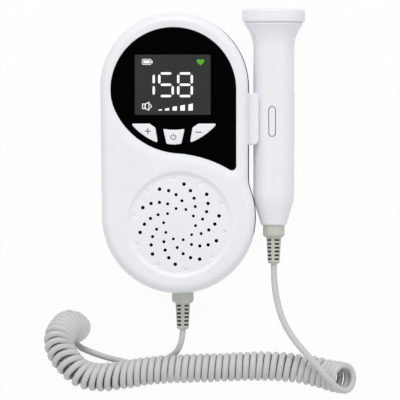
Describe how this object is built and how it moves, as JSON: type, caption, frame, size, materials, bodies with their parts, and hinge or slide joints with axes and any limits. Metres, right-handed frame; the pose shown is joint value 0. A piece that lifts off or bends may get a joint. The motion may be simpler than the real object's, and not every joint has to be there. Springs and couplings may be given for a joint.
{
  "type": "fetal doppler monitor",
  "caption": "Hand-held heart monitor lying on its back, with a display, keys, a loudspeaker grille and a corded ultrasound probe in a side clip.",
  "frame": {"origin": "middle of the flat back face that the unit lies on", "axes": "+Z out of the display face, +Y to the top of the unit, +X towards the side that holds the probe"},
  "size_m": [0.1552, 0.1969, 0.0334],
  "materials": {
    "white_shell": "satin moulded cool white",
    "white_key": "satin moulded white",
    "black_panel": "polished black",
    "dark_window": "polished smoked",
    "display_glass": "polished",
    "plated_steel": "nickel plated",
    "light_guide": "milky diffuser",
    "circuit_board": "green solder mask",
    "black_plastic": "moulded black",
    "cell_jacket": "printed film sleeve, plain",
    "magnet": "plated ferrite",
    "black_foam": "closed-cell foam",
    "paper_cone": "pressed paper",
    "probe_lens": "fine matt",
    "crystal": "silvered ceramic",
    "seal_rubber": "moulded",
    "grey_rubber": "soft matt grey",
    "cord_jacket": "soft satin grey"
  },
  "bodies": {
    "unit": {"front_housing": "white_shell", "rear_housing": "white_shell", "housing_screws": "plated_steel", "face_panel": "black_panel", "display_lens": "dark_window", "display_frame": "plated_steel", "display_cell": "display_glass", "display_backlight": "light_guide", "main_board": "circuit_board", "board_screws": "plated_steel", "key_switches": "black_plastic", "board_chips": "black_plastic", "headphone_jack": "black_plastic", "speaker_gasket": "black_foam", "speaker_cone": "paper_cone", "speaker_frame": "plated_steel", "speaker_magnet": "magnet", "battery_cells": "cell_jacket", "battery_contacts": "plated_steel", "unit_strain_relief": "grey_rubber", "probe_holder": "white_shell", "cord_lead_unit": "cord_jacket", "cord_coil": "cord_jacket", "cord_lead_probe": "cord_jacket"},
    "plus_key": {"plus_key": "white_key"},
    "power_key": {"power_key": "white_key"},
    "minus_key": {"minus_key": "white_key"},
    "battery_door": {"battery_door": "white_shell"},
    "probe": {"probe_front_shell": "white_shell", "probe_back_shell": "white_shell", "probe_head": "white_shell", "probe_face": "probe_lens", "crystal_backing": "black_foam", "transducer_crystals": "crystal", "probe_seal": "seal_rubber", "probe_board": "circuit_board", "probe_strain_relief": "grey_rubber"}
  },
  "joints": [
    {"name": "plus_key_press", "type": "slide", "parent": "unit", "child": "plus_key", "axis": [0, 0, -1], "range_m": [0, 0.0005], "stiffness_N_per_m": 600},
    {"name": "power_key_press", "type": "slide", "parent": "unit", "child": "power_key", "axis": [0, 0, -1], "range_m": [0, 0.0005], "stiffness_N_per_m": 600},
    {"name": "minus_key_press", "type": "slide", "parent": "unit", "child": "minus_key", "axis": [0, 0, -1], "range_m": [0, 0.0005], "stiffness_N_per_m": 600},
    {"name": "battery_door_tilt", "type": "hinge", "parent": "unit", "child": "battery_door", "pos_m": [-0.0017, 0.0622, 0.0002], "axis": [1, 0, 0], "range_deg": [0, 75]},
    {"name": "probe_slide", "type": "slide", "parent": "unit", "child": "probe", "axis": [0, 1, 0], "range_m": [0, 0.095]}
  ]
}
